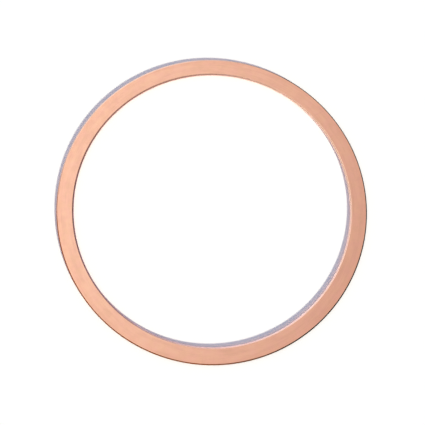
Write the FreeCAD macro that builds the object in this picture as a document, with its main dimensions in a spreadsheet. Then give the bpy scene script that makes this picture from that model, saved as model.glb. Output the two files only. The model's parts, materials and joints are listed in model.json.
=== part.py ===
import FreeCAD, Part
import Sketcher
import os

# Copper gasket for a knife-edge vacuum flange of the DN160, 8-inch size.
# It is one flat ring of soft copper, cut from sheet, with a chamfer along each of its four edges.
# Both sides are alike. The ring lies flat: its axis is Z, and the origin is at the middle of its underside.
# All sizes are in millimetres.

NODE_NAME = "gasket_ring"
PARTS_FOLDER = "parts"

# How a constraint names two points: the sketch's own origin, and the centre of a circle.
SKETCH_ORIGIN = (-1, 1)
CENTRE_INDEX = 3


def make_size_sheet(document):
    """Return the sheet of driving sizes, one row to each size, with its name as the cell's alias."""
    sheet = document.addObject("Spreadsheet::Sheet", "sizes")
    driving_sizes = (
        ("bore_diameter", "152.6", "opening through the ring, as wide as the pipe that it seals"),
        ("ring_width", "9.35", "from the bore to the rim, across the side that a knife edge presses into"),
        ("thickness", "2.0", "of the copper sheet, from one flat side to the other"),
        ("edge_chamfer", "0.7", "each way, at 45 degrees, on all four edges, so that none keeps a burr"),
    )
    for row, (alias, value, meaning) in enumerate(driving_sizes, start=1):
        sheet.set(f"A{row}", alias)
        sheet.set(f"B{row}", value)
        sheet.set(f"C{row}", meaning)
        sheet.setAlias(f"B{row}", alias)
    document.recompute()
    return sheet


def origin_plane(body, role):
    """Return the plane of the body's own origin that has this role."""
    return next(feature for feature in body.Origin.OriginFeatures if feature.Role == role)


def add_circle(sketch, name, diameter, diameter_expression):
    """Draw a full circle about the sketch's origin and bind its diameter to the sheet."""
    upwards = FreeCAD.Vector(0, 0, 1)
    circle = sketch.addGeometry(Part.Circle(FreeCAD.Vector(), upwards, diameter / 2))
    sketch.addConstraint(Sketcher.Constraint("Coincident", circle, CENTRE_INDEX, *SKETCH_ORIGIN))
    constraint = sketch.addConstraint(Sketcher.Constraint("Diameter", circle, diameter))
    sketch.renameConstraint(constraint, name)
    sketch.setExpression(f"Constraints.{name}", diameter_expression)


def add_outline(body, sheet):
    """Sketch the ring as seen from above: the bore, and the rim around it."""
    outline = body.newObject("Sketcher::SketchObject", "outline")
    outline.AttachmentSupport = [(origin_plane(body, "XY_Plane"), "")]
    outline.MapMode = "FlatFace"
    rim_diameter = sheet.bore_diameter + 2 * sheet.ring_width
    add_circle(outline, "bore", sheet.bore_diameter, "sizes.bore_diameter")
    add_circle(outline, "rim", rim_diameter, "sizes.bore_diameter + 2 * sizes.ring_width")
    return outline


def add_blank(body, outline):
    """Give the outline the thickness of the sheet, upwards from the ground."""
    blank = body.newObject("PartDesign::Pad", "blank")
    blank.Profile = outline
    blank.setExpression("Length", "sizes.thickness")
    outline.Visibility = False
    return blank


def add_chamfers(body, blank):
    """Chamfer the four round edges, where the flat sides meet the walls of the bore and the rim."""
    round_edges = [
        f"Edge{number}"
        for number, edge in enumerate(blank.Shape.Edges, start=1)
        if isinstance(edge.Curve, Part.Circle)
    ]
    chamfers = body.newObject("PartDesign::Chamfer", "edge_chamfers")
    chamfers.Base = (blank, round_edges)
    chamfers.setExpression("Size", "sizes.edge_chamfer")
    return chamfers


def make_gasket_ring(document, sheet):
    """Return the body of the ring, with its sizes bound to the sheet."""
    body = document.addObject("PartDesign::Body", NODE_NAME)
    body.Label = NODE_NAME
    outline = add_outline(body, sheet)
    blank = add_blank(body, outline)
    document.recompute()
    add_chamfers(body, blank)
    body.Placement = FreeCAD.Placement()
    document.recompute()
    return body


def check_model(document, body):
    """Stop with a message if any object failed or the ring isn't one whole solid."""
    for item in document.Objects:
        if "Invalid" in item.State or "Error" in item.State:
            raise RuntimeError(f"{item.Label} failed: {item.State}")
    shape = body.Shape
    if shape.isNull() or not shape.isValid():
        raise RuntimeError(f"{body.Label} has no valid shape")
    if len(shape.Solids) != 1:
        raise RuntimeError(f"{body.Label} has {len(shape.Solids)} solids instead of one")


def main():
    """Build the gasket and write its one solid."""
    document = FreeCAD.newDocument("copper_gasket")
    sheet = make_size_sheet(document)
    ring = make_gasket_ring(document, sheet)
    check_model(document, ring)
    os.makedirs(PARTS_FOLDER, exist_ok=True)
    ring.Shape.exportStep(os.path.join(PARTS_FOLDER, f"{ring.Label}.step"))
    box = ring.Shape.optimalBoundingBox()
    print(f"{ring.Label}: {box.XLength:.3f} x {box.YLength:.3f} x {box.ZLength:.3f} mm")
    print(f"volume {ring.Shape.Volume:.3f} mm3")


main()
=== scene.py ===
"""Looks for a flat copper gasket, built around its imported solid.

The gasket is one plain ring of soft copper, so it is one sub-assembly: GasketRing. Its sizes come from the
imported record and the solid's own box. Two finishes dress it: the rolled sheet of its two flat sides, and the
cut metal of its chamfers and walls. Both are made from the same few shader node groups.
"""

from __future__ import annotations

import json
import logging
import math
from dataclasses import dataclass
from enum import Enum
from typing import Any

import bmesh
import bpy
from mathutils import Matrix, Vector


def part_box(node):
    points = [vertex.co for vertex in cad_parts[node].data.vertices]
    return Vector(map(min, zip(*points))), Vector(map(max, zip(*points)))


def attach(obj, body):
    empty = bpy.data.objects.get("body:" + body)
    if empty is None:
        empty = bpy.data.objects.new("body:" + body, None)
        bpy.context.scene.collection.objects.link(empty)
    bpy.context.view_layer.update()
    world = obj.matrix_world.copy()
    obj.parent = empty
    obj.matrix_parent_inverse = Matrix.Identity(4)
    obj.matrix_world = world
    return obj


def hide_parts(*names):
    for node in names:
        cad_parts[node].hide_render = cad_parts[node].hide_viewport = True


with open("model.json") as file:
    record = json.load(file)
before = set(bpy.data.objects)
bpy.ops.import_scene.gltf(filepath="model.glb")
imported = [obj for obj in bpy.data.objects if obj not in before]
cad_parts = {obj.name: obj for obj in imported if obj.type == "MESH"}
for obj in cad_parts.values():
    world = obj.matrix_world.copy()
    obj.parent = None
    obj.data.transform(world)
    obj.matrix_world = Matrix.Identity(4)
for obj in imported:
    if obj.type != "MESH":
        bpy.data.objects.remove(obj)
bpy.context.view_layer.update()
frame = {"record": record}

LOG = logging.getLogger("copper_gasket")
MILLIMETRE = 0.001
UPWARDS = Vector((0.0, 0.0, 1.0))
LEVEL = Vector((1.0, 1.0, 0.0))

Group = bpy.types.NodeTree
Node = bpy.types.Node
Socket = bpy.types.NodeSocket
Colour = tuple[float, float, float, float]

# The values of a soft noise lie about the middle, and most of them within the range.
NOISE_MIDDLE = 0.5
NOISE_RANGE = (0.3, 0.7)


def direction(azimuth: float, elevation: float = 0.0) -> Vector:
    """Give the unit vector towards an azimuth, from +X towards +Y, and an elevation, both in degrees."""
    around, up = math.radians(azimuth), math.radians(elevation)
    return Vector((math.cos(around) * math.cos(up), math.sin(around) * math.cos(up), math.sin(up)))


class Zone(Enum):
    """The parts of the ring's surface that are finished alike. The value is the place of the material."""

    FLAT = 0
    EDGE = 1


class Kind(Enum):
    """The kinds of value that a node group takes in and gives out, by Blender's names."""

    NUMBER = "NodeSocketFloat"
    VECTOR = "NodeSocketVector"


class Course(Enum):
    """The ways from one end of a ramp to the other, by Blender's names."""

    SMOOTH = "SMOOTHSTEP"
    EVEN = "LINEAR"


class Laying(Enum):
    """The ways to lay one colour on another, by Blender's names."""

    OVER = "MIX"
    ADDED = "ADD"
    MULTIPLIED = "MULTIPLY"


class NodeTree:
    """A node tree with short calls for adding nodes and joining them."""

    def __init__(self, tree: bpy.types.NodeTree) -> None:
        """Keep the tree that the calls work on."""
        self.tree = tree

    def add(self, kind: str, label: str = "", **settings: Any) -> Node:
        """Add one node.

        Args:
            kind: Blender's name for the type of node.
            label: What the node is for, in plain words.
            settings: Properties of the node to set.

        Returns:
            The new node.
        """
        node = self.tree.nodes.new(kind)
        node.label = label
        for name, value in settings.items():
            setattr(node, name, value)
        return node

    def feed(self, socket: Socket, value: Any) -> None:
        """Give an input its value: another node's output is linked, and anything else is set.

        Args:
            socket: The input to feed.
            value: An output socket, a number, a colour or a vector.
        """
        if isinstance(value, Socket):
            self.tree.links.new(value, socket)
        else:
            socket.default_value = value

    def feed_all(self, node: Node, values: dict[Any, Any]) -> None:
        """Give several inputs of one node their values.

        Args:
            node: The node to feed.
            values: The value or socket for each input, by the input's name or number.
        """
        for which, value in values.items():
            self.feed(node.inputs[which], value)

    def maths(self, operation: str, *values: Any, label: str = "", clamp: bool = False) -> Socket:
        """Work out a number.

        Args:
            operation: Blender's name for the operation.
            values: Its numbers or sockets, in order.
            label: What the number is for.
            clamp: Whether the answer is held between 0 and 1.

        Returns:
            The socket that holds the answer.
        """
        node = self.add("ShaderNodeMath", label, operation=operation, use_clamp=clamp)
        self.feed_all(node, dict(enumerate(values)))
        return node.outputs["Value"]

    def vector_maths(self, operation: str, *values: Any, label: str = "", answer: str = "Vector") -> Socket:
        """Work out a vector, or a number from vectors.

        Args:
            operation: Blender's name for the operation.
            values: Its vectors or sockets, in order.
            label: What the answer is for.
            answer: The output to give back, Vector or Value.

        Returns:
            The socket that holds the answer.
        """
        node = self.add("ShaderNodeVectorMath", label, operation=operation)
        self.feed_all(node, dict(enumerate(values)))
        return node.outputs[answer]

    def scaled(self, vector: Any, factor: Any, label: str = "") -> Socket:
        """Multiply a vector or a colour by a number.

        Args:
            vector: The vector, the colour or its socket.
            factor: The number or its socket.
            label: What the answer is for.

        Returns:
            The socket that holds the answer.
        """
        answer = self.vector_maths("SCALE", vector, label=label)
        self.feed(answer.node.inputs["Scale"], factor)
        return answer

    def seen_from_above(self, vector: Any) -> Socket:
        """Take the height out of a vector."""
        return self.vector_maths("MULTIPLY", vector, LEVEL, label="seen from above")

    def height(self, vector: Any) -> Socket:
        """Work out the height of a vector."""
        return self.vector_maths("DOT_PRODUCT", vector, UPWARDS, label="height", answer="Value")

    def length(self, vector: Any, label: str = "") -> Socket:
        """Work out the length of a vector."""
        return self.vector_maths("LENGTH", vector, label=label, answer="Value")

    def vector(self, label: str = "", **parts: Any) -> Socket:
        """Put a vector together.

        Args:
            label: What the vector is for.
            parts: Its X, Y or Z, each a number or a socket. One that isn't given is 0.

        Returns:
            The socket that holds the vector.
        """
        node = self.add("ShaderNodeCombineXYZ", label)
        self.feed_all(node, parts)
        return node.outputs["Vector"]

    def ramp(
        self,
        value: Any,
        low: Any,
        high: Any,
        to_low: Any = 0.0,
        to_high: Any = 1.0,
        label: str = "",
        course: Course = Course.SMOOTH,
    ) -> Socket:
        """Turn one range of numbers into another, and hold it at both ends.

        Args:
            value: The number or socket to turn.
            low: Where the first range starts.
            high: Where the first range ends.
            to_low: What low becomes.
            to_high: What high becomes.
            label: What the answer is for.
            course: The way from one end to the other.

        Returns:
            The socket that holds the answer.
        """
        node = self.add("ShaderNodeMapRange", label, interpolation_type=course.value)
        ends = {"From Min": low, "From Max": high, "To Min": to_low, "To Max": to_high}
        self.feed_all(node, {"Value": value} | ends)
        return node.outputs["Result"]

    def noise(
        self, place: Any, scale: Any, detail: float, roughness: float = 0.5, label: str = ""
    ) -> Socket:
        """Add a soft noise.

        Args:
            place: The socket of the coordinates.
            scale: How many features there are to one unit of the coordinates.
            detail: How many finer layers are added.
            roughness: How strong each finer layer is beside the one before.
            label: What the noise stands for.

        Returns:
            The socket of its value.
        """
        node = self.add("ShaderNodeTexNoise", label, noise_dimensions="3D")
        self.feed_all(node, {"Vector": place, "Scale": scale, "Detail": detail, "Roughness": roughness})
        return node.outputs["Fac"]

    def blend(
        self, share: Any, first: Any, second: Any, label: str = "", laying: Laying = Laying.OVER
    ) -> Socket:
        """Blend two colours.

        Args:
            share: How much of the second colour shows.
            first: The colour underneath.
            second: The colour on top.
            label: What the blend is for.
            laying: How the second colour is laid on.

        Returns:
            The socket of the blended colour.
        """
        node = self.add("ShaderNodeMix", label, data_type="RGBA", blend_type=laying.value)
        self.feed_all(node, {"Factor": share, "A": first, "B": second})
        return node.outputs["Result"]

    def mixed(self, share: Any, first: Socket, second: Socket, label: str = "") -> Socket:
        """Mix two shaders.

        Args:
            share: How much of the second shader there is.
            first: The socket of the first shader.
            second: The socket of the second shader.
            label: What the mix is for.

        Returns:
            The socket of the mixed shader.
        """
        node = self.add("ShaderNodeMixShader", label)
        self.feed_all(node, dict(enumerate((share, first, second))))
        return node.outputs["Shader"]


def new_group(name: str, inputs: dict[str, Kind], outputs: dict[str, Kind]) -> tuple[NodeTree, Node, Node]:
    """Start a shader node group with named inputs and outputs.

    Args:
        name: The group's name.
        inputs: The kind of each input, by its name.
        outputs: The kind of each output, by its name.

    Returns:
        The group's tree, the node of its inputs and the node of its outputs.
    """
    group = bpy.data.node_groups.new(name, "ShaderNodeTree")
    for way, sockets in {"INPUT": inputs, "OUTPUT": outputs}.items():
        for label, kind in sockets.items():
            group.interface.new_socket(label, in_out=way, socket_type=kind.value)
    tree = NodeTree(group)
    return tree, tree.add("NodeGroupInput"), tree.add("NodeGroupOutput")


@dataclass(frozen=True)
class PlaceOnRing:
    """The effect that tells where a point lies on the ring, in millimetres.

    Across counts some of the height with the radius, so that it grows along flats, chamfers and walls alike.
    """

    height_share: float = 0.37

    def build(self) -> Group:
        """Build the node group.

        Returns:
            The group. It gives the point's place, its direction from the axis, its radius, and how far it
            lies across the surface.
        """
        outputs = {"Place": Kind.VECTOR, "Around": Kind.VECTOR, "Radius": Kind.NUMBER, "Across": Kind.NUMBER}
        tree, given, made = new_group("Place on the ring", {"Position": Kind.VECTOR}, outputs)
        place = tree.scaled(given.outputs["Position"], 1.0 / MILLIMETRE, "metres to millimetres")
        flat = tree.seen_from_above(place)
        radius = tree.length(flat, "radius")
        across = tree.maths("MULTIPLY_ADD", tree.height(place), self.height_share, radius, label="across")
        around = tree.vector_maths("NORMALIZE", flat, label="direction from the axis")
        tree.feed_all(made, {"Place": place, "Around": around, "Radius": radius, "Across": across})
        return tree.tree


@dataclass(frozen=True)
class GrainRoundRing:
    """The effect of the fine lines and the broader bands that run round the ring.

    The lines have the length asked for at this radius, in millimetres.
    """

    radius: float = 81.0
    bands_to_a_line: float = 0.22
    detail: float = 2.0
    roughness: float = 0.6

    def build(self) -> Group:
        """Build the node group.

        Returns:
            The group. Lines and Bands are noises drawn out round the ring.
        """
        inputs = {"Around": Kind.VECTOR, "Across": Kind.NUMBER, "Length": Kind.NUMBER, "Pitch": Kind.NUMBER}
        outputs = {"Lines": Kind.NUMBER, "Bands": Kind.NUMBER}
        tree, given, made = new_group("Grain round the ring", inputs, outputs)
        turns = tree.maths("DIVIDE", self.radius, given.outputs["Length"], label="line lengths to the radius")
        along = tree.scaled(given.outputs["Around"], turns, "along the lines")
        lines = tree.maths("DIVIDE", given.outputs["Across"], given.outputs["Pitch"], label="lines across")
        for name, share in {"Lines": 1.0, "Bands": self.bands_to_a_line}.items():
            across = tree.vector("place across", Z=tree.maths("MULTIPLY", lines, share))
            place = tree.vector_maths("ADD", along, across, label=f"among the {name.lower()}")
            pattern = tree.noise(place, 1.0, self.detail, self.roughness, label=name.lower())
            tree.feed(made.inputs[name], pattern)
        return tree.tree


@dataclass(frozen=True)
class SoftPatches:
    """The effect of the soft patches that rolling, annealing and handling leave in bare copper.

    Its two patterns come from places so far apart, in millimetres, that they look unlike.
    """

    apart: tuple[float, float, float] = (173.0, -61.0, 29.0)

    def build(self) -> Group:
        """Build the node group.

        Returns:
            The group. Tone and Hue are soft noises of two unlike patterns.
        """
        inputs = {"Place": Kind.VECTOR, "Patch": Kind.NUMBER}
        tree, given, made = new_group("Soft patches", inputs, {"Tone": Kind.NUMBER, "Hue": Kind.NUMBER})
        place = given.outputs["Place"]
        scale = tree.maths("DIVIDE", 1.0, given.outputs["Patch"], label="patches to a millimetre")
        moved = tree.vector_maths("ADD", place, self.apart, label="somewhere else")
        tone = tree.noise(place, scale, detail=3.0, roughness=0.55, label="lighter and darker")
        hue = tree.noise(moved, scale, detail=2.0, roughness=0.6, label="pinker and browner")
        tree.feed_all(made, {"Tone": tone, "Hue": hue})
        return tree.tree


@dataclass(frozen=True)
class HairlineScratches:
    """The effect of the sparse hairlines that handling leaves.

    Each run of hairlines has its direction, in degrees, and the share that its pattern is squeezed to along
    them, which draws them out.
    """

    runs: tuple[tuple[float, float], ...] = ((24.0, 0.018), (97.0, 0.025), (151.0, 0.014))
    squeezed_across: float = 0.4
    fade: float = 0.06

    def build(self) -> Group:
        """Build the node group.

        Returns:
            The group. Mask is 1 on a hairline and 0 elsewhere.
        """
        inputs = {"Place": Kind.VECTOR, "Width": Kind.NUMBER, "Rarity": Kind.NUMBER}
        tree, given, made = new_group("Hairline scratches", inputs, {"Mask": Kind.NUMBER})
        fineness = tree.maths("DIVIDE", 1.0, given.outputs["Width"], label="widths to a millimetre")
        starts = given.outputs["Rarity"]
        whole = tree.maths("ADD", starts, self.fade, label="where a hairline is whole")
        total: Any = 0.0
        for turn, squeezed_along in self.runs:
            turned = tree.add("ShaderNodeVectorRotate", f"turned {turn:.0f} degrees", rotation_type="Z_AXIS")
            tree.feed_all(turned, {"Vector": given.outputs["Place"], "Angle": math.radians(turn)})
            squeeze = (squeezed_along, self.squeezed_across, self.squeezed_across)
            drawn_out = tree.vector_maths("MULTIPLY", turned.outputs["Vector"], squeeze, label="drawn out")
            streaks = tree.noise(drawn_out, fineness, detail=0.0, label="streaks")
            kept = tree.ramp(streaks, starts, whole, label="the rarest only")
            total = tree.maths("MAXIMUM", total, kept)
        tree.feed(made.inputs["Mask"], total)
        return tree.tree


@dataclass(frozen=True)
class WearAlongEdges:
    """The effect of the wear along the ring's edges, where flats, chamfers and walls meet.

    The section is alike above and below and from rim to bore, so the distance is taken in a quarter of it.
    """

    rubs_to_a_millimetre: float = 0.9
    detail: float = 3.0
    roughness: float = 0.6

    def build(self) -> Group:
        """Build the node group.

        Returns:
            The group. Mask is 1 on an edge and falls to 0 at Reach from it, unevenly.
        """
        numbers = ("Middle radius", "Half width", "Half thickness", "Chamfer", "Reach", "Unevenness")
        inputs = {"Place": Kind.VECTOR} | dict.fromkeys(numbers, Kind.NUMBER)
        tree, given, made = new_group("Wear along edges", inputs, {"Mask": Kind.NUMBER})
        asked = given.outputs
        radius = tree.length(tree.seen_from_above(asked["Place"]), "radius")
        from_middle = tree.maths("SUBTRACT", radius, asked["Middle radius"])
        from_half_way = tree.maths("SUBTRACT", tree.height(asked["Place"]), asked["Half thickness"])
        point = tree.vector(
            "point in the quarter section",
            X=tree.maths("ABSOLUTE", from_middle, label="from the middle of the width"),
            Y=tree.maths("ABSOLUTE", from_half_way, label="from half the thickness"),
        )
        distances = []
        for name, (across, up) in {"flat edge": (1.0, 0.0), "wall edge": (0.0, 1.0)}.items():
            corner = tree.vector(
                name,
                X=tree.maths("MULTIPLY_ADD", asked["Chamfer"], -across, asked["Half width"]),
                Y=tree.maths("MULTIPLY_ADD", asked["Chamfer"], -up, asked["Half thickness"]),
            )
            distance = tree.vector_maths("DISTANCE", point, corner, label=f"to the {name}", answer="Value")
            distances.append(distance)
        nearest = tree.maths("MINIMUM", *distances, label="to the nearest edge")
        rubbing = tree.noise(asked["Place"], self.rubs_to_a_millimetre, self.detail, self.roughness)
        uneven = tree.maths("SUBTRACT", rubbing, NOISE_MIDDLE, label="uneven rubbing")
        worn = tree.maths("MULTIPLY_ADD", uneven, asked["Unevenness"], nearest, label="uneven distance")
        tree.feed(made.inputs["Mask"], tree.ramp(worn, 0.0, asked["Reach"], 1.0, 0.0, label="worn"))
        return tree.tree


@dataclass(frozen=True)
class CopperEffects:
    """The shader node groups that both finishes of the copper use, each built once."""

    place: Group
    grain: Group
    patches: Group
    scratches: Group
    wear: Group

    @classmethod
    def build(cls) -> CopperEffects:
        """Build every group.

        Returns:
            The groups.
        """
        return cls(
            place=PlaceOnRing().build(),
            grain=GrainRoundRing().build(),
            patches=SoftPatches().build(),
            scratches=HairlineScratches().build(),
            wear=WearAlongEdges().build(),
        )


@dataclass(frozen=True)
class SectionSizes:
    """The sizes of the ring's section that the wear on its edges is drawn from, in millimetres."""

    middle_radius: float
    half_width: float
    half_thickness: float
    chamfer: float


@dataclass(frozen=True)
class Marks:
    """What the effects say about a point of one material, each as a socket.

    Lines, bands, tone and hue are soft noises. The others go from 0 to 1. Flush, which makes the copper redder
    and a little darker, grows from the middle of the ring's width to its rim.
    """

    lines: Socket
    bands: Socket
    tone: Socket
    hue: Socket
    hairline: Socket
    wear: Socket
    flush: Socket


@dataclass(frozen=True)
class CopperFinish:
    """Bare copper, as one part of the ring's surface shows it. Lengths are in millimetres.

    The colours are the copper's own, as linear red, green and blue: the body of the metal, what it turns to
    where it is browner, where it is pinker and where an edge is rubbed bright, and what the rim's flush
    multiplies it by. As the noise of the hue rises, the brown fades across one range and the pink comes up
    across another.
    """

    name: str
    body: Colour
    browner: Colour
    pinker: Colour
    rubbed: Colour
    patch: float
    tone_spread: float
    hue_share: float
    grain_length: float
    grain_pitch: float
    grain_shade: float
    band_shade: float
    scratch_width: float
    scratch_rarity: float
    scratch_shade: float
    wear_reach: float
    wear_share: float
    roughness: float
    roughness_spread: float
    relief: float
    flushed: Colour = (1.0, 0.965, 0.955, 1.0)
    brown_fades: tuple[float, float] = (0.36, 0.52)
    pink_rises: tuple[float, float] = (0.5, 0.66)
    wear_unevenness: float = 0.15
    polish: float = 1.5

    def material(self, effects: CopperEffects, section: SectionSizes) -> bpy.types.Material:
        """Build the material.

        Args:
            effects: The shared node groups.
            section: The sizes of the ring's section.

        Returns:
            The new material.
        """
        material = bpy.data.materials.new(self.name)
        material.use_nodes = True
        tree = NodeTree(material.node_tree)
        shader = material.node_tree.nodes["Principled BSDF"]
        shader.inputs["Metallic"].default_value = 1.0
        marks = self.marks(tree, effects, section)
        tree.feed(shader.inputs["Base Color"], self.colour(tree, marks))
        tree.feed(shader.inputs["Roughness"], self.dullness(tree, marks))
        tree.feed(shader.inputs["Normal"], self.surface(tree, marks))
        return material

    def marks(self, tree: NodeTree, effects: CopperEffects, section: SectionSizes) -> Marks:
        """Place the shared groups in this material with its own values.

        Args:
            tree: The material's nodes.
            effects: The shared node groups.
            section: The sizes of the ring's section.

        Returns:
            What the groups say about each point.
        """
        position = tree.add("ShaderNodeTexCoord").outputs["Object"]
        seat = self.use(tree, effects.place, "where on the ring", {"Position": position})
        place = seat.outputs["Place"]
        lines = {
            "Around": seat.outputs["Around"],
            "Across": seat.outputs["Across"],
            "Length": self.grain_length,
            "Pitch": self.grain_pitch,
        }
        grain = self.use(tree, effects.grain, "grain round the ring", lines)
        patches = self.use(tree, effects.patches, "soft patches", {"Place": place, "Patch": self.patch})
        scratches = {"Place": place, "Width": self.scratch_width, "Rarity": self.scratch_rarity}
        hairlines = self.use(tree, effects.scratches, "hairline scratches", scratches)
        edges = {
            "Place": place,
            "Middle radius": section.middle_radius,
            "Half width": section.half_width,
            "Half thickness": section.half_thickness,
            "Chamfer": section.chamfer,
            "Reach": self.wear_reach,
            "Unevenness": self.wear_unevenness,
        }
        wear = self.use(tree, effects.wear, "wear along edges", edges)
        middle, rim = section.middle_radius, section.middle_radius + section.half_width
        return Marks(
            lines=grain.outputs["Lines"],
            bands=grain.outputs["Bands"],
            tone=patches.outputs["Tone"],
            hue=patches.outputs["Hue"],
            hairline=hairlines.outputs["Mask"],
            wear=wear.outputs["Mask"],
            flush=tree.ramp(seat.outputs["Radius"], middle, rim, label="towards the rim"),
        )

    @staticmethod
    def use(tree: NodeTree, group: Group, label: str, values: dict[str, Any]) -> Node:
        """Place one shared group in a material.

        Args:
            tree: The material's nodes.
            group: The shared group.
            label: What it is for here.
            values: The value or socket for each of its inputs.

        Returns:
            The group's node.
        """
        node = tree.add("ShaderNodeGroup", label, node_tree=group)
        tree.feed_all(node, values)
        return node

    def colour(self, tree: NodeTree, marks: Marks) -> Socket:
        """Lay the colours of the copper over each other.

        Args:
            tree: The material's nodes.
            marks: What the effects say about each point.

        Returns:
            The socket of the colour.
        """
        brown = tree.ramp(marks.hue, *self.brown_fades, self.hue_share, 0.0, label="how brown")
        pink = tree.ramp(marks.hue, *self.pink_rises, 0.0, self.hue_share, label="how pink")
        metal = tree.blend(brown, self.body, self.browner, "browner patches")
        metal = tree.blend(pink, metal, self.pinker, "pinker patches")
        # Redder and a little darker towards the rim.
        metal = tree.blend(marks.flush, metal, self.flushed, "flush along the rim", Laying.MULTIPLIED)
        rubbed = tree.maths("MULTIPLY", marks.wear, self.wear_share, label="how rubbed")
        metal = tree.blend(rubbed, metal, self.rubbed, "rubbed edges")
        tone = self.about_one(tree, marks.tone, self.tone_spread, "patches of tone")
        lines = self.about_one(tree, marks.lines, self.grain_shade, "shade of the lines")
        bands = self.about_one(tree, marks.bands, self.band_shade, "shade of the bands")
        scratched = tree.ramp(marks.hairline, 0.0, 1.0, 1.0, 1.0 - self.scratch_shade, "dark hairlines")
        toned = tree.maths("MULTIPLY", tone, lines)
        marked = tree.maths("MULTIPLY", bands, scratched)
        shade = tree.maths("MULTIPLY", toned, marked, label="shade")
        return tree.scaled(metal, shade, "shaded copper")

    @staticmethod
    def about_one(tree: NodeTree, noise: Socket, spread: float, label: str) -> Socket:
        """Turn a noise into a shade that lies within the spread of 1."""
        return tree.ramp(noise, *NOISE_RANGE, 1.0 - spread, 1.0 + spread, label)

    def dullness(self, tree: NodeTree, marks: Marks) -> Socket:
        """Work out how rough the copper is. A rubbed edge is smoother, by its polish times the spread.

        Args:
            tree: The material's nodes.
            marks: What the effects say about each point.

        Returns:
            The socket of the roughness.
        """
        spread = self.roughness_spread
        low, high = self.roughness - spread, self.roughness + spread
        level = tree.ramp(marks.tone, *NOISE_RANGE, high, low, label="patches")
        level = tree.maths("MULTIPLY_ADD", marks.lines, spread, level, label="lines")
        level = tree.maths("MULTIPLY_ADD", marks.wear, -self.polish * spread, level, label="rubbed edges")
        return tree.maths("MULTIPLY_ADD", marks.hairline, spread, level, label="hairlines", clamp=True)

    def surface(self, tree: NodeTree, marks: Marks) -> Socket:
        """Raise the relief of the grain and the scratches.

        Args:
            tree: The material's nodes.
            marks: What the effects say about each point.

        Returns:
            The socket of the normal.
        """
        height = tree.maths("SUBTRACT", marks.lines, marks.hairline, label="relief")
        bump = tree.add("ShaderNodeBump", "relief of grain and hairlines")
        tree.feed_all(bump, {"Strength": 1.0, "Distance": self.relief * MILLIMETRE, "Height": height})
        return bump.outputs["Normal"]


ROLLED_SHEET = CopperFinish(
    name="rolled_copper",
    body=(0.978, 0.519, 0.36, 1.0),
    browner=(0.968, 0.545, 0.338, 1.0),
    pinker=(0.985, 0.497, 0.386, 1.0),
    rubbed=(0.97, 0.57, 0.42, 1.0),
    patch=4.0,
    tone_spread=0.028,
    hue_share=0.3,
    grain_length=16.0,
    grain_pitch=0.45,
    grain_shade=0.025,
    band_shade=0.035,
    scratch_width=0.25,
    scratch_rarity=0.78,
    scratch_shade=0.05,
    wear_reach=0.35,
    wear_share=0.4,
    roughness=0.34,
    roughness_spread=0.04,
    relief=0.0015,
)

CUT_EDGE = CopperFinish(
    name="cut_copper",
    body=(0.93, 0.5, 0.35, 1.0),
    browner=(0.86, 0.46, 0.31, 1.0),
    pinker=(0.94, 0.48, 0.37, 1.0),
    rubbed=(0.98, 0.6, 0.46, 1.0),
    patch=3.0,
    tone_spread=0.05,
    hue_share=0.7,
    grain_length=9.0,
    grain_pitch=0.22,
    grain_shade=0.05,
    band_shade=0.05,
    scratch_width=0.2,
    scratch_rarity=0.76,
    scratch_shade=0.2,
    wear_reach=0.16,
    wear_share=0.6,
    roughness=0.27,
    roughness_spread=0.05,
    relief=0.002,
)


@dataclass(frozen=True)
class SectionPoint:
    """One point of the ring's section, in metres, and how the surface from it to the next is finished."""

    radius: float
    height: float
    zone: Zone


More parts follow.
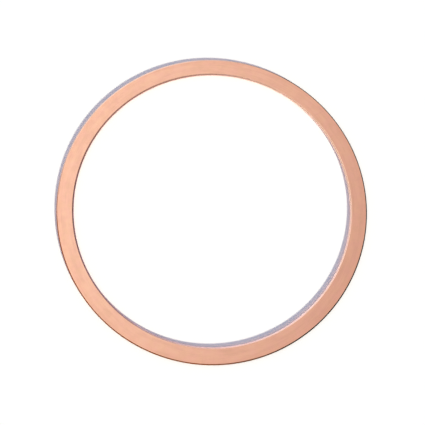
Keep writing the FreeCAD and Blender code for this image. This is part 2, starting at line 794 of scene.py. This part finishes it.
@dataclass
class GasketRing:
    """The whole gasket: a flat ring of soft copper. Sizes are in metres.

    The corners where flats, chamfers and walls meet are softened a little, inwards, and more beside the bore
    than beside the rim. The map's margin is a share of the map.
    """

    name: str
    bore_radius: float
    rim_radius: float
    thickness: float
    chamfer: float
    bore_softening: float = 0.3 * MILLIMETRE
    rim_softening: float = 0.12 * MILLIMETRE
    softening_steps: int = 6
    flat_steps: int = 6
    steps_round: int = 720
    map_strips: int = 5
    map_margin: float = 0.006

    @classmethod
    def from_frame(cls, node: str, record: dict[str, Any]) -> GasketRing:
        """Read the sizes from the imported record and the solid's own box.

        Args:
            node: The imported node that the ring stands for.
            record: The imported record.

        Returns:
            The ring, not built yet.
        """
        mounts = {mount["name"]: mount["dims"] for mount in record["mounts"]}
        lowest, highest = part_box(node)
        rim_radius = mounts["rim"]["r_mm"] * MILLIMETRE
        thickness = highest.z - lowest.z
        wall = mounts["rim"]["length_mm"] * MILLIMETRE
        return cls(
            name="copper_ring",
            bore_radius=mounts["bore"]["r_mm"] * MILLIMETRE,
            rim_radius=min(rim_radius, highest.x, -lowest.x, highest.y, -lowest.y),
            thickness=thickness,
            chamfer=(thickness - wall) / 2,
        )

    def section_sizes(self) -> SectionSizes:
        """Give the sizes that the wear on the edges is drawn from.

        Returns:
            The section's sizes, in millimetres.
        """
        return SectionSizes(
            middle_radius=(self.bore_radius + self.rim_radius) / 2 / MILLIMETRE,
            half_width=(self.rim_radius - self.bore_radius) / 2 / MILLIMETRE,
            half_thickness=self.thickness / 2 / MILLIMETRE,
            chamfer=self.chamfer / MILLIMETRE,
        )

    def corners(self) -> list[tuple[Vector, Zone]]:
        """Give the section's eight corners.

        Returns:
            Each corner, as radius and height, and the zone of the side that starts there. The list starts at
            the underside, beside the bore, and goes up the bore and out to the rim.
        """
        bore, rim, top, cut = self.bore_radius, self.rim_radius, self.thickness, self.chamfer
        return [
            (Vector((bore + cut, 0.0)), Zone.EDGE),
            (Vector((bore, cut)), Zone.EDGE),
            (Vector((bore, top - cut)), Zone.EDGE),
            (Vector((bore + cut, top)), Zone.FLAT),
            (Vector((rim - cut, top)), Zone.EDGE),
            (Vector((rim, top - cut)), Zone.EDGE),
            (Vector((rim, cut)), Zone.EDGE),
            (Vector((rim - cut, 0.0)), Zone.FLAT),
        ]

    def softened(self, before: Vector, corner: Vector, after: Vector) -> list[Vector]:
        """Replace one corner of the section with a small arc that touches both of its sides.

        Args:
            before: The corner before it.
            corner: The corner to soften.
            after: The corner after it.

        Returns:
            The points of the arc, in order.
        """
        beside_bore = corner.x - self.bore_radius < self.rim_radius - corner.x
        radius = self.bore_softening if beside_bore else self.rim_softening
        to_before, to_after = (before - corner).normalized(), (after - corner).normalized()
        half_angle = to_before.angle(to_after) / 2
        start = corner + to_before * (radius / math.tan(half_angle))
        end = corner + to_after * (radius / math.tan(half_angle))
        centre = corner + (to_before + to_after).normalized() * (radius / math.sin(half_angle))
        arc = []
        for step in range(self.softening_steps + 1):
            chord = start.lerp(end, step / self.softening_steps)
            arc.append(centre + (chord - centre).normalized() * radius)
        return arc

    def section(self) -> list[SectionPoint]:
        """Trace the closed section, with its softened corners.

        Returns:
            The section's points, in order.
        """
        corners = self.corners()
        points: list[SectionPoint] = []
        arcs = [
            self.softened(corners[index - 1][0], corner, corners[(index + 1) % len(corners)][0])
            for index, (corner, _) in enumerate(corners)
        ]
        for index, (_, zone) in enumerate(corners):
            arc, next_arc = arcs[index], arcs[(index + 1) % len(corners)]
            points += [SectionPoint(point.x, point.y, Zone.EDGE) for point in arc[:-1]]
            steps = self.flat_steps if zone is Zone.FLAT else 1
            for step in range(steps):
                point = arc[-1].lerp(next_arc[0], step / steps)
                points.append(SectionPoint(point.x, point.y, zone))
        return points

    def build_mesh(self) -> bpy.types.Mesh:
        """Turn the section round the axis.

        Returns:
            The mesh, with its zones as material places and its own map.
        """
        section = self.section()
        shape = bmesh.new()
        rows = []
        for step in range(self.steps_round):
            angle = math.tau * step / self.steps_round
            cosine, sine = math.cos(angle), math.sin(angle)
            places = [(point.radius * cosine, point.radius * sine, point.height) for point in section]
            rows.append([shape.verts.new(place) for place in places])
        map_layer = shape.loops.layers.uv.new("OFBake")
        distances = self.distances_along(section)
        for step, row in enumerate(rows):
            next_row = rows[(step + 1) % self.steps_round]
            for index, point in enumerate(section):
                after = (index + 1) % len(section)
                face = shape.faces.new((row[index], row[after], next_row[after], next_row[index]))
                face.smooth = True
                face.material_index = point.zone.value
                turns = ((step, index), (step, index + 1), (step + 1, index + 1), (step + 1, index))
                for loop, (turn, along) in zip(face.loops, turns):
                    loop[map_layer].uv = self.map_place(step, turn, distances[along])
        shape.normal_update()
        mesh = bpy.data.meshes.new(self.name)
        shape.to_mesh(mesh)
        shape.free()
        return mesh

    @staticmethod
    def distances_along(section: list[SectionPoint]) -> list[float]:
        """Measure along the section to each of its points.

        Args:
            section: The section's points, in order.

        Returns:
            Each point's distance as a share of the way round, and 1 for the way back to the first.
        """
        total = [0.0]
        for index, point in enumerate(section):
            after = section[(index + 1) % len(section)]
            total.append(total[-1] + math.hypot(after.radius - point.radius, after.height - point.height))
        return [distance / total[-1] for distance in total]

    def map_place(self, step: int, turn: int, along: float) -> tuple[float, float]:
        """Place a corner on the map, which holds the ring as strips, one above another.

        Args:
            step: The face's step round the ring, which tells its strip.
            turn: The corner's step round the ring.
            along: The corner's share of the way round the section.

        Returns:
            The place across and up the map.
        """
        steps_to_a_strip = self.steps_round // self.map_strips
        strip = step // steps_to_a_strip
        across = (turn - strip * steps_to_a_strip) / steps_to_a_strip
        strip_height = 1.0 / self.map_strips
        inside = 1.0 - 2.0 * self.map_margin
        upwards = strip * strip_height + self.map_margin + along * (strip_height - 2.0 * self.map_margin)
        return self.map_margin + across * inside, upwards

    def dress(self, piece: bpy.types.Object, effects: CopperEffects) -> None:
        """Give the ring its finishes, and keep its flats flat to the eye.

        Args:
            piece: The ring's object.
            effects: The shared node groups.
        """
        sizes = self.section_sizes()
        finishes = {Zone.FLAT: ROLLED_SHEET, Zone.EDGE: CUT_EDGE}
        for zone in Zone:
            piece.data.materials.append(finishes[zone].material(effects, sizes))
        normals = piece.modifiers.new("flat sides stay flat", "WEIGHTED_NORMAL")
        normals.mode = "FACE_AREA"
        largest_faces_only = 100
        normals.weight = largest_faces_only

    def build(self, effects: CopperEffects, node: str, body: str, slot: str) -> bpy.types.Object:
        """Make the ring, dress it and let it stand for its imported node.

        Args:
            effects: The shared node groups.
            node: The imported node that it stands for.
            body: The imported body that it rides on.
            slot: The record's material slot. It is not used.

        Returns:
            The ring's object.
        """
        piece = bpy.data.objects.new(self.name, self.build_mesh())
        bpy.context.scene.collection.objects.link(piece)
        self.dress(piece, effects)
        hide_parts(node)
        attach(piece, body)
        return piece


@dataclass(frozen=True)
class Sweep:
    """A light that is strongest towards one azimuth, in degrees, and fades evenly away from it.

    The fade is told by the cosine of the angle from that azimuth: where nothing but the dark colour is left,
    and where the light is full.
    """

    azimuth: float
    faded: float
    full: float
    bright: Colour
    dark: Colour = (0.0, 0.0, 0.0, 1.0)

    def colour(self, tree: NodeTree, heading: Socket, label: str) -> Socket:
        """Work out the colour in a direction.

        Args:
            tree: The nodes to work in.
            heading: The socket of the direction, a unit vector.
            label: What the light stands for.

        Returns:
            The socket of the colour.
        """
        towards = tree.vector_maths("DOT_PRODUCT", heading, direction(self.azimuth), answer="Value")
        share = tree.ramp(towards, self.faded, self.full, label=label, course=Course.EVEN)
        return tree.blend(share, self.dark, self.bright, label)


@dataclass(frozen=True)
class PaleFloor:
    """The plain floor that the ring lies on, a gap below it. Lengths are in metres.

    What the copper mirrors of it is a painted reflection: a glow that only the copper sees, and that isn't the
    same all round. Outside the ring it has a bright side and a warm one and is dark elsewhere, and inside the
    bore it is bright everywhere, but for a true strip along the bore's edge that is mirrored as it is, shadow
    and all.
    """

    half_side: float = 3.0
    gap: float = 0.02 * MILLIMETRE
    true_strip: float = 0.8 * MILLIMETRE
    white: Colour = (0.9, 0.9, 0.9, 1.0)
    bright_side: Sweep = Sweep(azimuth=123.3, faded=0.42, full=1.1, bright=(1.35, 1.64, 1.79, 1.0))
    warm_side: Sweep = Sweep(azimuth=226.2, faded=0.23, full=0.79, bright=(0.351, 0.132, 0.0, 1.0))
    inside: Sweep = Sweep(
        azimuth=16.8,
        faded=-1.0,
        full=1.0,
        bright=(2.116, 2.726, 3.427, 1.0),
        dark=(0.565, 0.659, 1.426, 1.0),
    )

    def build(self, ring: GasketRing) -> bpy.types.Object:
        """Make the floor.

        Args:
            ring: The ring that lies on it.

        Returns:
            The floor's object.
        """
        side = self.half_side
        corners = [(x, y, -self.gap) for x, y in ((-side, -side), (side, -side), (side, side), (-side, side))]
        mesh = bpy.data.meshes.new("pale_floor")
        mesh.from_pydata(corners, [], [range(len(corners))])
        mesh.materials.append(self.material(ring))
        floor = bpy.data.objects.new("pale_floor", mesh)
        bpy.context.scene.collection.objects.link(floor)
        return floor

    def material(self, ring: GasketRing) -> bpy.types.Material:
        """Build the floor's material: matt and pale for the eye, with a painted reflection, a glow, for the
        copper.

        Args:
            ring: The ring that lies on it.

        Returns:
            The new material.
        """
        material = bpy.data.materials.new("pale_floor")
        material.use_nodes = True
        tree = NodeTree(material.node_tree)
        nodes = material.node_tree.nodes
        nodes.remove(nodes["Principled BSDF"])
        place = tree.add("ShaderNodeTexCoord").outputs["Object"]
        radius = tree.length(place, "distance from the axis")
        middle = (ring.bore_radius + ring.rim_radius) / 2
        outside = tree.maths("GREATER_THAN", radius, middle, label="lies outside")
        matt = tree.add("ShaderNodeBsdfDiffuse", "matt and pale")
        matt.inputs["Color"].default_value = self.white
        # Painted reflection: an emission that only the copper's glossy rays see, in place of the lit floor.
        seen = tree.add("ShaderNodeEmission", "as the copper sees it")
        tree.feed(seen.inputs["Color"], self.painted_reflection_colour(tree, place, outside))
        far, near = ring.bore_radius - 2 * self.true_strip, ring.bore_radius - self.true_strip
        from_bore = tree.ramp(radius, far, near, 1.0, 0.0, label="away from the bore's edge")
        away = tree.maths("MAXIMUM", from_bore, outside, label="away from the strip")
        mirrored = tree.add("ShaderNodeLightPath").outputs["Is Glossy Ray"]
        share = tree.maths("MULTIPLY", mirrored, away, label="seen by the copper, and away")
        both = tree.mixed(share, matt.outputs["BSDF"], seen.outputs["Emission"], "for the eye or the copper")
        tree.feed(nodes["Material Output"].inputs["Surface"], both)
        return material

    def painted_reflection_colour(self, tree: NodeTree, place: Socket, outside: Socket) -> Socket:
        """Work out the colour of the painted reflection, the glow that the copper mirrors.

        Args:
            tree: The material's nodes.
            place: The socket of the point's place.
            outside: The socket that is 1 outside the ring and 0 inside the bore.

        Returns:
            The socket of the colour.
        """
        heading = tree.vector_maths("NORMALIZE", place, label="direction from the axis")
        lit = self.bright_side.colour(tree, heading, "bright outside the ring")
        warm = self.warm_side.colour(tree, heading, "warm outside the ring")
        around = tree.blend(1.0, lit, warm, "outside the ring", Laying.ADDED)
        within = self.inside.colour(tree, heading, "inside the bore")
        return tree.blend(outside, within, around, "inside or outside")


@dataclass(frozen=True)
class SoftRoom:
    """The soft light all round: plain for the floor, and a ceiling, a window and a broad wall for the copper.

    Below the ceiling's foot there are only the walls, and above the walls' top only the ceiling. Both are
    elevations in degrees. What the copper throws on to the floor is stronger by bounce, as in a room full of
    pale things.
    """

    backdrop: Colour = (1.0, 1.0, 1.0, 1.0)
    ambient: Colour = (0.42, 0.44, 0.565, 1.0)
    ceiling: Sweep = Sweep(
        azimuth=165.9,
        faded=-0.32,
        full=1.3,
        bright=(1.84, 2.17, 2.19, 1.0),
        dark=(0.607, 0.551, 0.565, 1.0),
    )
    window: Sweep = Sweep(azimuth=119.0, faded=0.39, full=1.12, bright=(1.08, 1.4, 1.89, 1.0))
    wall: Sweep = Sweep(azimuth=214.5, faded=-0.43, full=1.73, bright=(0.158, 0.196, 0.182, 1.0))
    ceiling_foot: float = 12.5
    wall_top: float = 25.0
    bounce: float = 1.4

    def build(self) -> None:
        """Build the world's shader."""
        world = bpy.data.worlds.new("soft_room")
        bpy.context.scene.world = world
        world.use_nodes = True
        tree = NodeTree(world.node_tree)
        nodes = world.node_tree.nodes
        nodes.remove(nodes["Background"])
        paths = tree.add("ShaderNodeLightPath")
        ambient = self.light(tree, self.ambient, "ambient light")
        backdrop = self.light(tree, self.backdrop, "backdrop")
        plain = tree.mixed(paths.outputs["Is Camera Ray"], ambient, backdrop, "backdrop for the eye")
        thrown = tree.maths("MINIMUM", paths.outputs["Diffuse Depth"], 1.0, label="thrown on to the floor")
        strength = tree.maths("MULTIPLY_ADD", thrown, self.bounce, 1.0, label="stronger where thrown")
        mirrored = self.light(tree, self.room_colour(tree), "ceiling and walls", strength)
        room = tree.mixed(paths.outputs["Is Glossy Ray"], plain, mirrored, "room for the copper")
        tree.feed(nodes["World Output"].inputs["Surface"], room)

    @staticmethod
    def light(tree: NodeTree, colour: Any, label: str, strength: Any = 1.0) -> Socket:
        """Add a background light.

        Args:
            tree: The world's nodes.
            colour: Its colour, or the socket of it.
            label: What the light stands for.
            strength: Its strength, or the socket of it.

        Returns:
            The socket of the light.
        """
        node = tree.add("ShaderNodeBackground", label)
        tree.feed_all(node, {"Color": colour, "Strength": strength})
        return node.outputs["Background"]

    def room_colour(self, tree: NodeTree) -> Socket:
        """Work out the colour of the ceiling and the walls in each direction.

        Args:
            tree: The world's nodes.

        Returns:
            The socket of the colour.
        """
        ray = tree.add("ShaderNodeTexCoord").outputs["Generated"]
        heading = tree.vector_maths("NORMALIZE", tree.seen_from_above(ray), label="direction along the floor")
        overhead = self.ceiling.colour(tree, ray, "ceiling")
        window = self.window.colour(tree, heading, "window")
        wall = self.wall.colour(tree, heading, "broad wall")
        low_down = tree.blend(1.0, window, wall, "window and wall", Laying.ADDED)
        foot, top = (math.sin(math.radians(angle)) for angle in (self.ceiling_foot, self.wall_top))
        rise = tree.ramp(tree.height(ray), foot, top, label="from wall to ceiling")
        return tree.blend(rise, low_down, overhead, "room")


@dataclass(frozen=True)
class KeyLight:
    """The lamp that casts the ring's shadow. The copper doesn't mirror it. Angles are in degrees."""

    azimuth: float = 308.7
    elevation: float = 30.8
    spread: float = 6.5
    strength: float = 4.35
    colour: tuple[float, float, float] = (1.0, 0.97, 0.78)

    def build(self) -> bpy.types.Object:
        """Make the lamp.

        Returns:
            The lamp's object.
        """
        lamp = bpy.data.lights.new("key_light", "SUN")
        lamp.energy = self.strength
        lamp.angle = math.radians(self.spread)
        lamp.color = self.colour
        holder = bpy.data.objects.new("key_light", lamp)
        holder.rotation_mode = "QUATERNION"
        holder.rotation_quaternion = (-direction(self.azimuth, self.elevation)).to_track_quat("-Z", "Y")
        holder.visible_glossy = False
        bpy.context.scene.collection.objects.link(holder)
        return holder


@dataclass(frozen=True)
class PhotoCamera:
    """The camera, a little to one side of straight above the ring. The ring's +Y points up the picture.

    Lengths are in metres and angles in degrees. The picture's width and the focal length are in pixels.
    """

    distance: float = 0.35
    tilt: float = 10.48
    stand_azimuth: float = 260.8
    aim_x: float = -0.11 * MILLIMETRE
    aim_y: float = -3.44 * MILLIMETRE
    nearest: float = 10 * MILLIMETRE
    picture_width: int = 425
    focal_pixels: float = 633.3

    def build(self) -> bpy.types.Object:
        """Make the camera and use it.

        Returns:
            The camera's object.
        """
        lens = bpy.data.cameras.new("photo_camera")
        lens.lens = lens.sensor_width * self.focal_pixels / self.picture_width
        lens.clip_start = self.nearest
        camera = bpy.data.objects.new("photo_camera", lens)
        backwards = direction(self.stand_azimuth, 90.0 - self.tilt)
        rightwards = Vector((0.0, 1.0, 0.0)).cross(backwards).normalized()
        turned = Matrix((rightwards, backwards.cross(rightwards), backwards)).transposed()
        stand = Vector((self.aim_x, self.aim_y, 0.0)) + backwards * self.distance
        camera.matrix_world = Matrix.Translation(stand) @ turned.to_4x4()
        bpy.context.scene.collection.objects.link(camera)
        bpy.context.scene.camera = camera
        return camera


def main() -> None:
    """Build the gasket and the stage around it."""
    logging.basicConfig(level=logging.INFO, format="%(name)s: %(message)s")
    bpy.context.scene.view_settings.view_transform = "Standard"
    view = PhotoCamera()
    camera = view.build()
    LOG.info("camera %s stands %.0f mm away", camera.name, view.distance / MILLIMETRE)
    effects = CopperEffects.build()
    ring = GasketRing.from_frame("gasket_ring", frame["record"])
    piece = ring.build(effects, node="gasket_ring", body="root", slot="copper")
    faces = len(piece.data.polygons)
    LOG.info("piece %s: %d faces, chamfers %.2f mm", piece.name, faces, ring.chamfer / MILLIMETRE)
    for holder in (PaleFloor().build(ring), KeyLight().build()):
        LOG.info("stage %s", holder.name)
    SoftRoom().build()


if __name__ == "__main__":
    main()
